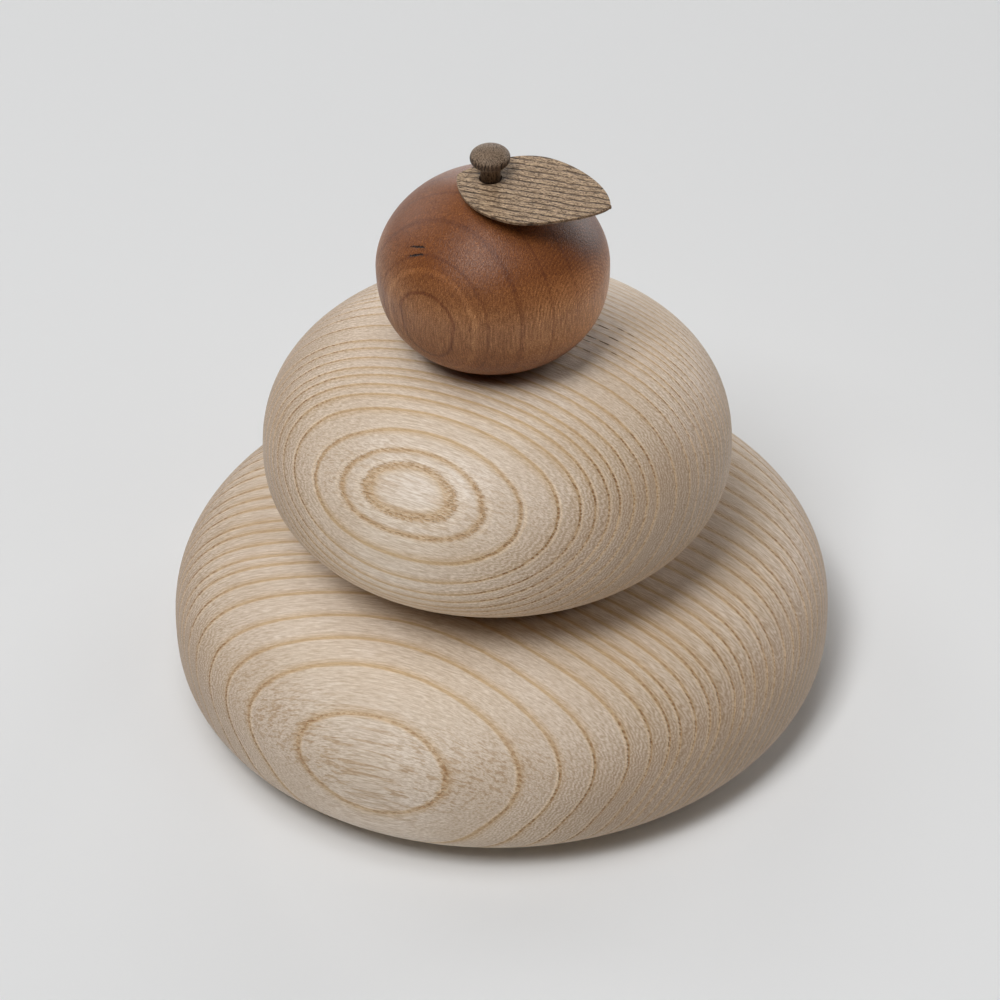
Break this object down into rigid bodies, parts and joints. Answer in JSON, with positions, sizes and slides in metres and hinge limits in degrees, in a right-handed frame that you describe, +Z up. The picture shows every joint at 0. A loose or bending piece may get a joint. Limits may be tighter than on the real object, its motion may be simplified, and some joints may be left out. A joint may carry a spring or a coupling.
{
  "type": "wooden kagami mochi",
  "caption": "Turned wooden kagami mochi: stacked flattened rounds topped by an orange with leaf and stem, standing on a flat foot as a New Year ornament.",
  "frame": {"origin": "on the turning axis, at the foot of the lower round, where it rests", "axes": "+Z up along the turning axis; the leaf's tip points to +X and a little to -Y; the shown front faces -Y"},
  "size_m": [0.12, 0.12, 0.1132],
  "materials": {
    "pale_wood": "sanded satin, ring-porous pale wood with ochre growth rings",
    "red_wood": "waxed satin, fine reddish-brown wood",
    "brown_wood": "bare sanded, grey-brown open-pored wood"
  },
  "bodies": {
    "root": {"lower_mochi": "pale_wood", "upper_mochi": "pale_wood", "orange": "red_wood", "leaf": "brown_wood", "stem": "brown_wood"}
  },
  "joints": []
}
